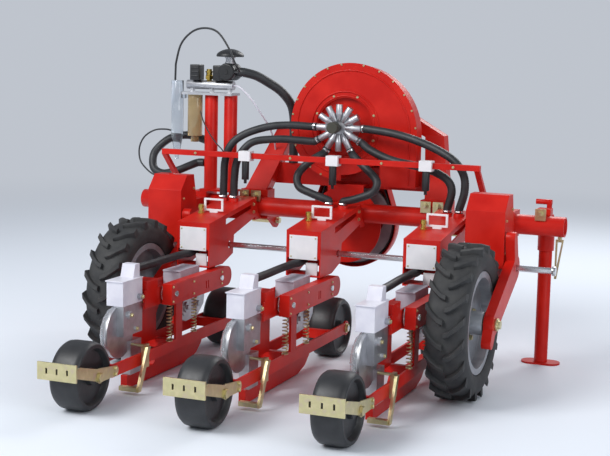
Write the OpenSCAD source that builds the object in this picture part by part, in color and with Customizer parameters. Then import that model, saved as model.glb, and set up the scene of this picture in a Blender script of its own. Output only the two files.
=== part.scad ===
// Three-row pneumatic seed drill for a tractor's three-point hitch, parked on its wheels and stands.
// Millimetres. X is to the right seen from behind, Y is the way of travel, the floor is at Z = 0.

/* [Toolbar] */
// Outside diameter of the round toolbar
bar_d = 89; // [76:1:96]
// Height of the toolbar's axis above the floor
bar_z = 641; // [635:1:655]
// Reach of the toolbar past the left drive wheel's centre plane
bar_over_left = 328; // [315:1:440]
// Reach of the toolbar past the right drive wheel's centre plane
bar_over_right = 260; // [250:1:390]

/* [Drive wheels] */
// Diameter over the lugs of a drive tyre
tyre_d = 640; // [620:2:650]
// Width of a drive tyre
tyre_w = 164; // [150:2:170]
// Height of a lug above the carcass
lug_h = 20; // [12:1:24]
// Lugs on each side of a tyre
lug_count = 20; // [16:1:24]
// Height of a tyre's section, from the rim's flange to the tops of the lugs
tyre_section = 110; // [100:1:120]
// Clearance between a drive tyre and the outer row unit
row_gap = 35; // [25:1:60]
// Clearance between a tyre's lugs and the drive shaft
tread_gap = 55.7; // [50:0.1:70]
// Diameter of a stub axle
stub_d = 34; // [28:1:40]

/* [Row units] */
// Distance between rows
row_pitch = 530; // [510:5:560]
// Diameter of a press wheel
press_d = 270; // [250:2:290]
// Width of a press wheel
press_w = 122; // [100:2:126]
// Distance of the front press axle behind the toolbar
front_reach = 216; // [205:1:235]
// Clearance between the metering disc's housing and the rear press wheel
rear_gap = 70.8; // [60:0.1:90]
// Diameter of a press axle
press_axle_d = 24; // [18:1:28]
// Thickness of a row unit's beam
beam_t = 10; // [6:1:12]
// Height of a row unit's beam
beam_h = 50; // [40:1:56]
// Width of a row unit's head
head_w = 160; // [150:2:170]
// Thickness of the head's steel sheet
sheet_t = 6; // [4:0.5:8]
// Height of the chain case
case_h = 88; // [76:1:92]
// Thickness of the chain case
case_t = 44; // [30:1:50]
// Radius of the metering disc's housing
disc_r = 108; // [95:1:120]

/* [Fan] */
// Height of the fan's axis above the toolbar's axis
fan_rise = 397; // [385:1:420]
// Distance of the fan and the headstock to the left of the middle row
fan_left = 40; // [20:1:50]
// Depth of the fan housing
fan_depth = 110; // [90:1:112]
// Step of the spiral housing's radius from one quarter to the next
spiral_step = 36; // [24:1:40]
// Diameter of the large belt pulley
pulley_d = 390; // [340:2:400]
// Diameter of the fan's belt pulley
fan_pulley_d = 90; // [70:1:100]
// Diameter of the power take-off shaft
pto_d = 34.9; // [30:0.1:38]

/* [Hitch] */
// Distance between the lower hitch pins' shoulders
hitch_spread = 825; // [800:5:850]
// Height of the top-link pin above the lower pins
mast_h = 610; // [590:5:620]
// Diameter of a lower hitch pin
hitch_pin_d = 28.4; // [22:0.1:30]
// Bore for the top-link pin
top_link_d = 25.7; // [19:0.1:26]

/* [Parking stands] */
// Diameter of a stand's leg
leg_d = 60; // [50:1:62]
// Distance of a stand from the toolbar's end
stand_inset = 101; // [90:1:110]
// How far a leg lifts
stand_lift = 300; // [200:10:300]

/* [Air system] */
// Diameter of an air hose
hose_d = 40; // [30:1:44]
// Spigots on the manifold
spigot_count = 12; // [8:1:12]

/* [Hidden] */
$fn = 48;

// Colours
RED = "#c4161c";
ZINC = "#c9b16a";
STEEL = "#b9bcc0";
GREY = "#8d9094";
BLACK = "#1c1c1e";
WHITE = "#eeeef2";
ALU = "#a9abb2";

// Clearances
fit = 0.2;        // between fixed pieces that fit into each other
running = 0.3;    // between a turning piece and what carries it
wheel_gap = 8;    // between a wheel's side and what carries it
clamp_gap = 0.6;  // between a hose's end and what it is clamped to
eps = 1;          // overlap of a cut with what it leaves

// Row unit, Y measured from the toolbar, X from the row, heights from the press wheels and the pivot
bar_r = bar_d / 2;
press_r = press_d / 2;
beam_x = press_w / 2 + wheel_gap;
beam_z = press_r;
pivot_y = -503;
pivot_z = press_r + 234;
pivot_r = 12;
bracket_w = 120;
bracket_r = 38;
case_x = bracket_w / 2 + 6;
case_z0 = pivot_z - case_h / 2;
case_front = -440;
case_rear = -985;
case_shaft_y = -945;
arm_in = bracket_w / 2 - sheet_t - 10;
arm_t = 8;
arm_top = pivot_z + 32;
bridge_y = -885;
bridge_w = 60;
bridge_h = 20;
meter_front = -1107;
meter_rear = -1266;
meter_z0 = pivot_z - 10;
meter_z1 = pivot_z + 88;
meter_w = 76;
disc_y = -1235;
disc_z = meter_z0 - 1 - disc_r;
hopper_rear = -775;
hopper_front = -590;
hopper_z0 = pivot_z - 31;
hopper_z1 = pivot_z + 59;
hopper_w = 2 * arm_in - 4;
lid_t = 6;
lid_over = 5;
shoe_w = 30;
fork_t = 6;
front_y = -front_reach;
rear_y = disc_y - sqrt(pow(disc_r + press_r + rear_gap, 2) - pow(disc_z - press_r, 2));
fork_end = rear_y - press_r - 28;
head_y = -571;
head_front = -bar_r - 15.5;
head_top = bar_z - 21;
head_floor = pivot_z + case_h / 2 + 7;
wall_z0 = pivot_z + 131;
strip_y = -430;
strip_low = head_top + 18;
strip_high = bar_z + 50;

// Drive wheels
shaft_y = -355;
shaft_z = bar_z - 142;
shaft_r = 13;
tyre_r = tyre_d / 2;
track_half = row_pitch + case_x + case_t + row_gap + tyre_w / 2;
wheel_y = shaft_y - sqrt(pow(tyre_r + shaft_r + tread_gap, 2) - pow(shaft_z - tyre_r, 2));
rim_d = tyre_d - 2 * tyre_section;
shaft_left = -track_half - 173;
shaft_right = track_half + 295;

// Places of the main axes
bar_left = track_half + bar_over_left;
bar_right = track_half + bar_over_right;
row_x = [-row_pitch, 0, row_pitch];
wheel_x = [-track_half, track_half];
stand_x = [-bar_left + stand_inset, bar_right - stand_inset];
fan_x = -fan_left;
fan_z = bar_z + fan_rise;

// Fan and belt drive
fan_y = 20;
fan_front = fan_y + fan_depth;
fan_c1 = [21.5, 4.5];
fan_r1 = 284.5;
outlet_w = 165;
outlet_z = bar_z + 127;
inlet_r = 137;
inlet_depth = 25;
beam2_y = fan_front;
beam2_t = 30;
beam2_z0 = bar_z + 104;
beam2_h = 100;
belt_y = beam2_y + beam2_t + 12;
belt_w = 30;
belt_t = 6;
pulley_z = bar_z - 68;
guard_t = 3;
guard_y0 = beam2_y + beam2_t;
guard_y1 = belt_y + belt_w + 20;
pto_end = 330;
plate_y = bar_r + 5.5;
plate_t = 6;

// Headstock
foot_x = 453;
foot_out = 523;
foot_in = hitch_spread / 2 - 29.5;
pin_y = 160;
pin_z = bar_z - 86;
top_y = 390;
top_z = pin_z + mast_h;
leg_mid = [380, 250, bar_z + 359];

// Manifold and hoses
manifold_y = -60;
spigot_reach = 108;
spigot_r = 16;
spigot_root = spigot_r / sin(180 / spigot_count) + 1;
hub_r = spigot_root + 7;
hose_y = -160;
collar_r = 24;
collar_h = 14;

// Rail
rail_y = -225;
rail_z = bar_z + 259;
rail_s = 25;
rail_left = -track_half - 111;
rail_right = track_half - 78;

// Left column, X from its left post
col_x = fan_x - foot_out - 161;
post_x = [col_x, col_x + 103];
post_r = 32;
post_z0 = bar_z + 60;
post_z1 = bar_z + 524;
plate_h = 12;
plate_z = post_z1 + plate_h;
pipe_r = 22;
pipe_z = plate_z + 36;
pump_x = col_x + 96;
pump_z = plate_z + 101;
pump_r = 42;
tube_x = col_x - 185;
bowl_x = col_x - 88;

// The origin lies on the floor below the middle of the model's box
box_left = -bar_left;
box_right = shaft_right;
box_rear = fork_end - fork_t;
box_front = top_y + 33;
origin_x = (box_left + box_right) / 2;
origin_y = (box_rear + box_front) / 2;

// Moves a piece from the toolbar's axes to the part's frame
module place() {
  translate([-origin_x, -origin_y, 0]) children();
}

// Places a piece at each row
module each_row() {
  for (x = row_x) translate([x, 0, 0]) children();
}

// Extrudes an outline drawn in Y and Z along X, from x0 over a thickness
module side(x0, t) {
  translate([x0, 0, 0]) rotate([90, 0, 90]) linear_extrude(t) children();
}

// A cylinder along X from x0 to x1
module rod_x(x0, x1, y, z, r) {
  translate([x0, y, z]) rotate([0, 90, 0]) cylinder(h = x1 - x0, r = r);
}

// A cylinder along Y from y0 to y1
module rod_y(y0, y1, x, z, r) {
  translate([x, y0, z]) rotate([-90, 0, 0]) cylinder(h = y1 - y0, r = r);
}

// A box between two corners
module span(a, b) {
  translate(a) cube(b - a);
}

// Points where the outer tangents touch two circles, as a quadrilateral
function tangents(a, ra, b, rb) =
  let (d = b - a, l = norm(d), u = d / l, n = [-u[1], u[0]], s = (ra - rb) / l, c = sqrt(1 - s * s))
  [a + ra * (s * u + c * n), b + rb * (s * u + c * n), b + rb * (s * u - c * n), a + ra * (s * u - c * n)];

// Two round ends joined along their outer tangents, a hair inside them so that the faces meet cleanly
module link(a, ra, b, rb) {
  translate(a) circle(ra);
  translate(b) circle(rb);
  polygon(tangents(a, ra - 0.05, b, rb - 0.05));
}

// Catmull-Rom point between p[i] and p[i + 1]
function spline(p, i, t) =
  let (n = len(p) - 1, a = p[max(i - 1, 0)], b = p[i], c = p[min(i + 1, n)], d = p[min(i + 2, n)])
  0.5 * (2 * b + (c - a) * t + (2 * a - 5 * b + 4 * c - d) * t * t + (3 * b - a - 3 * c + d) * t * t * t);
// The route with extra points between the chosen ones
function smooth(p, steps) =
  [for (i = [0 : len(p) - 2]) for (k = [0 : steps - 1]) spline(p, i, k / steps), p[len(p) - 1]];
function unit(v) = v / norm(v);
function heading(p, i) = unit(p[min(i + 1, len(p) - 1)] - p[max(i - 1, 0)]);

// A round tube along a route, with flat ends
module tube(p, r, sides, across = [0.31, 0.87, 0.38]) {
  rings = [for (i = [0 : len(p) - 1])
    let (t = heading(p, i), u = unit(cross(t, across)), v = cross(t, u))
    for (k = [0 : sides - 1]) p[i] + r * (cos(360 * k / sides) * u + sin(360 * k / sides) * v)];
  last = (len(p) - 1) * sides;
  polyhedron(rings, concat(
    [[for (k = [0 : sides - 1]) k]],
    [[for (k = [sides - 1 : -1 : 0]) last + k]],
    [for (i = [0 : len(p) - 2]) for (k = [0 : sides - 1])
      let (a = i * sides + k, b = i * sides + (k + 1) % sides) [a, a + sides, b + sides, b]]));
}

// Frame

module toolbar() color(RED) place() difference() {
  rod_x(-bar_left, bar_right, 0, bar_z, bar_r);
  for (x = [-bar_left - eps, bar_right - 15]) rod_x(x, x + 15 + eps, 0, bar_z, bar_r - 6);
}

// Block that bears on the front of the toolbar, from x0 to x1
module saddle(x0, x1, y1, z0, z1) {
  difference() {
    span([x0, 8, z0], [x1, y1, z1]);
    rod_x(x0 - eps, x1 + eps, 0, bar_z, bar_r + fit);
  }
}

// Slab at one station of a headstock leg
module leg_slab(x, y, z, size) {
  translate([x, y, z]) cube(size, center = true);
}

module headstock() color(RED) place() translate([fan_x, 0, 0]) difference() {
  union() {
    for (s = [-1, 1]) {
      mirror([s < 0 ? 1 : 0, 0, 0]) saddle(foot_in, foot_out, 95, bar_z - 60, bar_z + 78);
      hull() {
        leg_slab(s * foot_x, 60, bar_z + 74, [110, 70, 8]);
        leg_slab(s * leg_mid[0], leg_mid[1], leg_mid[2], [92, 70, 8]);
      }
      hull() {
        leg_slab(s * leg_mid[0], leg_mid[1], leg_mid[2], [92, 70, 8]);
        leg_slab(s * 42, top_y - 75, top_z, [16, 76, 76]);
      }
      side(s * 42 - 8, 16) link([top_y - 75, top_z], 38, [top_y, top_z], 33);
      side(s * (hitch_spread / 2 - 8) - 8, 16) link([70, bar_z - 30], 30, [pin_y, pin_z], 35);
    }
    span([-430, beam2_y, beam2_z0], [430, beam2_y + beam2_t, beam2_z0 + beam2_h]);
  }
  rod_x(-100, 100, top_y, top_z, top_link_d / 2);
  rod_x(-hitch_spread, hitch_spread, pin_y, pin_z, hitch_pin_d / 2 + fit);
}

module hitch_pins() color(ZINC) place() translate([fan_x, 0, 0]) {
  for (s = [-1, 1]) mirror([s < 0 ? 1 : 0, 0, 0]) {
    x0 = hitch_spread / 2;
    rod_x(x0 - 34, x0 + 112, pin_y, pin_z, hitch_pin_d / 2);
    rod_x(x0, x0 + 10, pin_y, pin_z, hitch_pin_d / 2 + 9);
  }
}

// Zinc plates with a bolt over the top of the toolbar, at X
clamp_x = [
  fan_x - foot_x - 29, fan_x - foot_x + 29, fan_x + foot_x - 29, fan_x + foot_x + 29,
  stand_x[0] - 4, stand_x[1] - 4];
clamp_y = 7.5 - bar_r;
clamp_z = bar_z + bar_r - 17.5;
module toolbar_clamps() color(ZINC) place() for (x = clamp_x) {
  span([x - 24, clamp_y - 8, clamp_z], [x + 24, clamp_y, clamp_z + 52]);
  rod_y(clamp_y - 17, clamp_y - 8, x, clamp_z + 31, 13);
  rod_y(clamp_y, 8, x, clamp_z + 31, 8);
}

module hose_rail() color(RED) place() difference() {
  union() {
    span([rail_left, rail_y - rail_s / 2, rail_z - rail_s / 2], [rail_right, rail_y + rail_s / 2, rail_z + rail_s / 2]);
    for (x = [rail_left, rail_right - rail_s])
      side(x, rail_s) polygon([
        [rail_y - rail_s / 2, rail_z - rail_s / 2], [rail_y + rail_s / 2, rail_z - rail_s / 2],
        [16, bar_z + bar_r - 6], [-14, bar_z + bar_r - 6]]);
  }
  rod_x(-bar_left, bar_right, 0, bar_z, bar_r + fit);
}

// X of the clips on the hose rail
clip_x = [98 - row_pitch, 0, row_pitch - 92];
clip_w = 58;
module rail_clips() color(WHITE) place() for (x = clip_x)
  difference() {
    span([x - clip_w / 2, rail_y - 30, rail_z - 24], [x + clip_w / 2, rail_y + 20, rail_z + 22]);
    span([x - clip_w, rail_y - rail_s / 2 - fit, rail_z - rail_s / 2 - fit],
         [x + clip_w, rail_y + 30, rail_z + rail_s / 2 + fit]);
  }

module rail_grips() color(BLACK) place() for (x = clip_x) {
  translate([x, rail_y - 10, rail_z - 110]) cylinder(h = 86, r = 17);
  translate([x, rail_y - 10, rail_z - 128]) cylinder(h = 18, r = 7);
}

// Fan

// Spiral outline of four quarter arcs that run out into the outlet, grown outwards by g
module spiral(g) {
  c2 = fan_c1 - [0, spiral_step];
  c0 = fan_c1 - [spiral_step, 0];
  r1 = fan_r1 + g;
  r2 = r1 + spiral_step;
  r0 = r1 - spiral_step;
  low = outlet_z - fan_z;
  big = 2 * r2;
  intersection() {
    translate(fan_c1) circle(r1);
    translate([fan_c1[0] - big, fan_c1[1]]) square(big);
  }
  intersection() {
    translate(c2) circle(r2);
    translate([c2[0] - eps, c2[1]]) square(big);
  }
  intersection() {
    translate(c0) circle(r0);
    translate([c0[0] - big, c0[1] - big + eps]) square(big);
  }
  translate(c0) circle(r0 - g - spiral_step / 2);
  translate([c2[0] + r2 - outlet_w - g, low]) square([outlet_w + g, c2[1] - low + eps]);
}

module fan_housing() color(RED) place() translate([fan_x, 0, fan_z]) difference() {
  union() {
    translate([0, fan_front, 0]) rotate([90, 0, 0]) linear_extrude(fan_depth) spiral(0);
    translate([0, fan_y + 6, 0]) rotate([90, 0, 0]) linear_extrude(6) spiral(10);
  }
  rod_y(fan_y - eps, fan_y + inlet_depth, 0, 0, inlet_r);
  rod_y(fan_front - 10, fan_front + eps, 0, 0, 22);
}

// Cast star: a ring of hose spigots that taper to the middle, on a hub that leads into the fan's inlet
module manifold() color(ALU) place() translate([fan_x, 0, fan_z]) {
  rod_y(manifold_y + 2, fan_y + inlet_depth, 0, 0, hub_r);
  for (k = [0 : spigot_count - 1])
    translate([0, manifold_y, 0]) rotate([0, k * 360 / spigot_count, 0]) {
      translate([0, 0, spigot_root / 2]) cylinder(h = spigot_root / 2 + eps, r1 = spigot_r / 2, r2 = spigot_r);
      translate([0, 0, spigot_root + eps]) cylinder(h = spigot_reach - spigot_root - eps, r = spigot_r);
    }
}

module gauge_valve() color("#4a4a3a") place() translate([fan_x, 0, fan_z]) {
  rod_y(manifold_y - 62, manifold_y - 17, -14, 2, 26);
  rod_y(manifold_y - 18, manifold_y + 2, -4, 0, 14);
}

// Hoses

// Point on the axis of the spigot at angle a, at a distance r from the manifold's axis
function spigot(a, r) = [fan_x + r * cos(a), manifold_y, fan_z + r * sin(a)];
hose_start = spigot_reach + clamp_gap;
// Height of the strip on top of a head, which slopes up to the toolbar
function strip_z(y) = strip_low + (y - strip_y) / (head_front - strip_y) * (strip_high - strip_low);
collar_z = strip_z(hose_y) + collar_h;
// Hoses from the manifold to the heads: spigot angle, row, X of the end from the row,
// points from the fan's axis and the toolbar's height, points from the row and the toolbar's height
hose_routes = [
  [180, 0, -48, [[-240, -80, 400], [-340, -105, 389]], [[45, -135, 351], [-15, -156, 299], [-40, -163, 224], [-46, -161, 141]]],
  [210, 0, 6, [[-210, -80, 332], [-283, -100, 334]], [[105, -135, 322], [56, -156, 286], [20, -163, 220], [8, -161, 134]]],
  [0, 2, 44, [[262, -75, 384], [380, -100, 360]], [[-70, -135, 322], [15, -158, 278], [60, -165, 218], [66, -164, 147]]],
  [330, 2, -10, [[168, -85, 301], [282, -120, 265]], [[-155, -148, 246], [-85, -160, 231], [-16, -165, 197], [8, -164, 146]]],
  [240, 1, -42, [[-89, -90, 262], [-127, -120, 231], [-165, -148, 176], [-152, -163, 124]], [[-135, -165, 98], [-72, -163, 78]]],
  [300, 1, 26, [[93, -90, 266], [149, -120, 229], [214, -148, 182], [226, -160, 152]], [[166, -165, 116], [95, -164, 86], [44, -162, 72]]]
];
function hose_points(h) = concat(
  [spigot(h[0], hose_start + 30)],
  [for (p = h[3]) p + [fan_x, 0, bar_z]],
  [for (p = h[4]) p + [row_x[h[1]], 0, bar_z]],
  [[row_x[h[1]] + h[2], hose_y, collar_z + 18]]);
// Hose in each row from the head to the suction box, from the row's X and the pivot's height
drop_route = [
  [-20, -501.4, 115], [-20.5, -530, 113], [-22, -570, 109], [-24, -620, 113], [-24, -780, 113], [-14, -930, 115],
  [-4, -1050, 119], [-2, -1085, 120], [-2, meter_front - 5 + clamp_gap, 120]];
// Hose from the pump to the frame, from the column's left post and the toolbar's height
pump_route = [
  [170, 0, 637], [224, 25, 622], [274, 60, 590], [324, 95, 550], [362, 125, 494], [374, 140, 434], [376, 145, 359], [376, 145, 289]];
// Hose loop between the column's left post and its back, from that post and the toolbar's height
loop_route = [
  [-58, 0, 194], [-75, -6, 190], [-100, -36, 177], [-153, -66, 152], [-230, -60, 135], [-288, -45, 158], [-304, -20, 218],
  [-285, 10, 263], [-234, 32, 304], [-176, 62, 318], [-126, 72, 315], [-76, 72, 302], [-48, 64, 295]];
loop_end = [-cos(53) * (post_r + clamp_gap), sin(53) * (post_r + clamp_gap), 295];
module air_hoses() color(BLACK) place() {
  for (h = hose_routes)
    tube(concat([spigot(h[0], hose_start)], smooth(hose_points(h), 2), [[row_x[h[1]] + h[2], hose_y, collar_z + clamp_gap]]), hose_d / 2 - 1, 8);
  each_row() tube([for (p = drop_route) p + [0, 0, pivot_z]], hose_d / 2 - 3, 8);
  tube(concat(
    [[pump_x + pump_r + clamp_gap, 0, pump_z]],
    smooth([for (p = pump_route) p + [col_x, 0, bar_z]], 2),
    [[col_x + 376, 145, beam2_z0 + beam2_h + clamp_gap]]), hose_d / 2 + 3, 8);
  tube(concat(
    [[col_x - post_r - clamp_gap, 0, bar_z + 194]],
    smooth([for (p = loop_route) p + [col_x, 0, bar_z]], 2),
    [loop_end + [col_x, 0, bar_z]]), hose_d / 2, 8);
}

// Thin tube that arches over the column, from its left post and the plate's top
arch_route = [
  [-198, 0, 54], [-194, -4, 133], [-161, -15, 228], [-96, -28, 288], [-21, -42, 307], [56, -60, 289],
  [119, -78, 223], [154, -78, 153], [166, -60, 118], [164, -38, 101]];
module thin_tubes() color(BLACK) place() tube(concat(
  smooth([for (p = arch_route) p + [col_x, 0, plate_z]], 2),
  [[pump_x + pump_r + clamp_gap, -38, pump_z]]), 5, 8, [0, 1, 0]);

// Belt drive

module pto_support() color(RED) place() translate([fan_x, 0, 0]) difference() {
  union() {
    rod_y(plate_y, plate_y + plate_t, 0, pulley_z, pulley_d / 2 - 15);
    span([-90, plate_y, pulley_z], [90, plate_y + plate_t, beam2_z0 + 21]);
    span([-90, plate_y, beam2_z0 + 15], [90, beam2_y, beam2_z0 + 21]);
    rod_y(plate_y, belt_y - 8, 0, pulley_z, 50);
  }
  rod_y(0, belt_y, 0, pulley_z, pto_d / 2 + running);
}

module belt_outline(g) {
  link([0, pulley_z], pulley_d / 2 + g, [0, fan_z], fan_pulley_d / 2 + g);
}

module belt_guard() color(RED) place() translate([fan_x, 0, 0]) difference() {
  translate([0, guard_y1, 0]) rotate([90, 0, 0]) linear_extrude(guard_y1 - guard_y0) belt_outline(22);
  translate([0, guard_y1 - guard_t, 0]) rotate([90, 0, 0])
    linear_extrude(guard_y1 - guard_t - guard_y0 + eps) belt_outline(22 - guard_t);
  rod_y(0, pto_end, 0, pulley_z, 60);
}

module drive_belts() color(BLACK) place() translate([fan_x, belt_y + belt_w - 4, 0])
  rotate([90, 0, 0]) linear_extrude(belt_w - 8) difference() {
    belt_outline(belt_t);
    belt_outline(running);
  }

module pto_pulley() color(GREY) place() translate([fan_x, 0, 0]) {
  difference() {
    rod_y(belt_y, belt_y + belt_w, 0, pulley_z, pulley_d / 2);
    for (k = [0 : 4]) translate([0, 0, pulley_z]) rotate([0, k * 72, 0]) rod_y(0, pto_end, 110, 0, 40);
  }
  rod_y(plate_y + 10, pto_end, 0, pulley_z, pto_d / 2);
}

module fan_pulley() color(GREY) place() translate([fan_x, 0, 0]) {
  rod_y(belt_y, belt_y + belt_w, 0, fan_z, fan_pulley_d / 2);
  rod_y(fan_front - 8, belt_y, 0, fan_z, 15);
}

// Left column

module column_posts() color(RED) place() {
  span([post_x[0] - post_r - 6, -44, post_z0], [post_x[1] + post_r + 6, 44, post_z0 + 10]);
  for (x = post_x) translate([x, 0, post_z0 + 10]) cylinder(h = post_z1 - post_z0 - 10, r = post_r);
  difference() {
    span([post_x[1] + 9, -30, bar_z + 24], [post_x[1] + 35, 30, post_z0 + eps]);
    rod_x(post_x[1], post_x[1] + 40, 0, bar_z, bar_r + fit);
  }
}

// Plate on the posts with a clear pipe across it on two feet
module column_plate() color(STEEL) place() {
  span([col_x - 138, -50, post_z1], [post_x[1] + 25, 50, plate_z]);
  rod_x(col_x - 128, post_x[1] + 15, 0, pipe_z, pipe_r);
  for (x = [col_x - 110, col_x - 5, col_x + 90]) span([x, -12, plate_z - eps], [x + 14, 12, pipe_z]);
}

module column_tube() color(WHITE) place() {
  translate([tube_x, 0, plate_z - 212]) cylinder(h = 265, r = 30);
  translate([tube_x, 0, plate_z - 331]) cylinder(h = 119, r1 = 8, r2 = 30);
  span([tube_x + 27, -15, post_z1 - 20], [col_x - 138, 15, plate_z]);
}

module column_bowl() color("#b59a6a") place() {
  translate([bowl_x, 0, plate_z - 212]) cylinder(h = 200, r = 36);
  translate([bowl_x, 0, plate_z - 242]) cylinder(h = 30, r = 20);
}

// Pump drum on its side on the pipe, with a domed cap on a neck
module air_pump() color(BLACK) place() {
  rod_y(-48, 60, pump_x, pump_z, pump_r);
  difference() {
    span([pump_x - 74, -40, pipe_z + 12], [pump_x - 20, 40, pump_z + 30]);
    rod_x(pump_x - 80, pump_x, 0, pipe_z, pipe_r + fit);
  }
  translate([pump_x, 0, pump_z + pump_r - 4]) cylinder(h = 34, r = 22);
  translate([pump_x, 0, pump_z + pump_r + 30]) cylinder(h = 14, r = 66);
  translate([pump_x, 0, pump_z + pump_r + 44]) cylinder(h = 28, r1 = 66, r2 = 34);
}

module pump_fittings() color(ZINC) place() difference() {
  union() {
    span([col_x - 100, -40, pipe_z + 10], [col_x - 50, 20, pipe_z + 97]);
    translate([col_x - 14, 0, pipe_z + 10]) cylinder(h = 66, r = 20);
  }
  rod_x(col_x - 140, col_x + 20, 0, pipe_z, pipe_r + fit);
}

// Drive

// Outline of a guard, drawn inside its faces by d
function guard_outline(d) = [
  [-415 + d, shaft_z + 1 + d], [-415 + d, shaft_z + 241 - d * 0.4], [-355 + d * 0.4, shaft_z + 306 - d],
  [-285 - d * 0.8, shaft_z + 306 - d], [-255 - d, shaft_z + 181], [-255 - d, shaft_z - 59 - eps * d],
  [-345 + d * 0.6, shaft_z - 59 - eps * d]];
guard_w = tyre_w + 6;
module drive_guards() color(RED) place() for (x = wheel_x) translate([x, 0, 0]) difference() {
  union() {
    side(-guard_w / 2, guard_w) polygon(guard_outline(0));
    span([-40, -256, bar_z - 36], [40, -20, bar_z + 34]);
    span([-40, -60, bar_z - 60], [40, 60, bar_z + 60]);
  }
  side(-guard_w / 2 + 4, guard_w - 8) polygon(guard_outline(4));
  rod_x(-60, 60, 0, bar_z, bar_r + fit);
  rod_x(-guard_w, guard_w, shaft_y, shaft_z, shaft_r + running);
}

arm_x = tyre_w / 2 + wheel_gap;
wheel_arm_t = 40;
module wheel_arms() color(RED) place() for (x = wheel_x) translate([x, 0, 0]) difference() {
  union() {
    side(arm_x, wheel_arm_t) {
      hub = [wheel_y, tyre_r];
      pivot = [shaft_y, shaft_z];
      tail = hub - [45, 70];
      top = pivot + [-35, 131];
      link(pivot, 52, hub, 45);
      translate(tail) circle(24);
      polygon(tangents(hub, 30, tail, 24));
      translate(top) circle(26);
      polygon(tangents(pivot, 34, top, 26));
    }
    rod_x(guard_w / 2, arm_x, shaft_y, shaft_z, 44);
  }
  rod_x(0, 2 * arm_x, shaft_y, shaft_z, shaft_r + 2);
  rod_x(0, 2 * arm_x, wheel_y, tyre_r, stub_d / 2 + fit);
}

module stub_axles() color(ZINC) place() for (x = wheel_x) translate([x, 0, 0]) {
  rod_x(-48, arm_x + wheel_arm_t + 22, wheel_y, tyre_r, stub_d / 2);
  rod_x(arm_x + wheel_arm_t, arm_x + wheel_arm_t + 12, wheel_y, tyre_r, stub_d / 2 + 9);
}

module hex_shaft() color(STEEL) place() {
  translate([shaft_left, shaft_y, shaft_z]) rotate([0, 90, 0])
    cylinder(h = shaft_right - shaft_left, r = shaft_r, $fn = 6);
  for (x = [shaft_left, shaft_right - 14]) rod_x(x, x + 14, shaft_y, shaft_z, 20);
}

rim_w = tyre_w - 24;
rim_seat = rim_d / 2 - 16;
module rim(x) color(GREY) place() translate([x, wheel_y, tyre_r]) rotate([0, 90, 0]) rotate_extrude() polygon([
  [stub_d / 2 + running, -45], [48, -45], [48, -6], [70, -2], [rim_seat - 26, 14], [rim_seat - 10, 14],
  [rim_seat - 10, -rim_w / 2], [rim_d / 2, -rim_w / 2], [rim_d / 2, -rim_w / 2 + 4], [rim_seat, -rim_w / 2 + 6],
  [rim_seat, rim_w / 2 - 6], [rim_d / 2, rim_w / 2 - 4], [rim_d / 2, rim_w / 2], [rim_seat - 10, rim_w / 2],
  [rim_seat - 10, 24], [rim_seat - 30, 24], [70, 10], [48, 14], [48, arm_x - 5], [stub_d / 2 + running, arm_x - 5]]);
module rim_left() rim(wheel_x[0]);
module rim_right() rim(wheel_x[1]);

// One lug from the crown to the shoulder, pointing down from the axle, on the side s
module lug(s) {
  hull() {
    translate([s * 14, 0, -tyre_r + 14]) cube([24, 22, 28], center = true);
    translate([s * (tyre_w / 2 - 12), -62, -tyre_r + 32]) cube([20, 26, 36], center = true);
  }
}
module tyre(x) color(BLACK) place() translate([x, wheel_y, tyre_r]) {
  carcass = tyre_r - lug_h;
  rotate([0, 90, 0]) rotate_extrude($fn = 60) polygon([
    [rim_seat + 1, -rim_w / 2 + 7], [rim_d / 2 + 2, -rim_w / 2 + 7], [rim_d / 2 + 4, -rim_w / 2 - 2], [rim_d / 2 + 45, -tyre_w / 2],
    [carcass - 15, -tyre_w / 2 + 8], [carcass, -tyre_w / 2 + 32], [carcass + 3, 0],
    [carcass, tyre_w / 2 - 32], [carcass - 15, tyre_w / 2 - 8], [rim_d / 2 + 45, tyre_w / 2],
    [rim_d / 2 + 4, rim_w / 2 + 2], [rim_d / 2 + 2, rim_w / 2 - 7], [rim_seat + 1, rim_w / 2 - 7]]);
  for (k = [0 : lug_count - 1]) {
    rotate([k * 360 / lug_count, 0, 0]) lug(1);
    rotate([(k + 0.5) * 360 / lug_count, 0, 0]) lug(-1);
  }
}
module tyre_left() tyre(wheel_x[0]);
module tyre_right() tyre(wheel_x[1]);

// Parking stands

leg_y = 87;
sleeve_r = leg_d / 2 + 7;
module stand_sleeves() color(RED) place() for (x = stand_x) translate([x, 0, 0]) difference() {
  union() {
    saddle(-30, 30, 60, bar_z - 45, bar_z + 75);
    translate([0, leg_y, bar_z - 121]) cylinder(h = 151, r = sleeve_r);
  }
  translate([0, leg_y, 0]) cylinder(h = 2 * bar_z, r = leg_d / 2 + running);
}

foot_t = 8;
module stand(x) color(RED) place() translate([x, leg_y, 0]) {
  linear_extrude(foot_t) for (s = [-1, 1]) {
    translate([s * 40, 0]) circle(48);
    square([80, 96], center = true);
  }
  translate([0, 0, foot_t]) cylinder(h = bar_z + 42 - foot_t, r = leg_d / 2);
  translate([8, 0, bar_z + 40]) cylinder(h = 58, r = 12);
  rod_x(-52, 20, 0, bar_z + 98, 12);
}
module stand_left() stand(stand_x[0]);
module stand_right() stand(stand_x[1]);

// Forked drop latch below the toolbar's right end
module bar_latch() color(ZINC) place() translate([bar_right - 22, 0, bar_z - bar_r]) {
  span([-8, -12, -12], [8, 12, 0]);
  translate([0, 4, 0]) rotate([90, 0, 0]) linear_extrude(8) difference() {
    polygon([[-18, -12], [18, -12], [-8, -190], [-18, -190]]);
    polygon([[-9, -24], [9, -24], [-10, -140]]);
  }
}

// Row units

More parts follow.
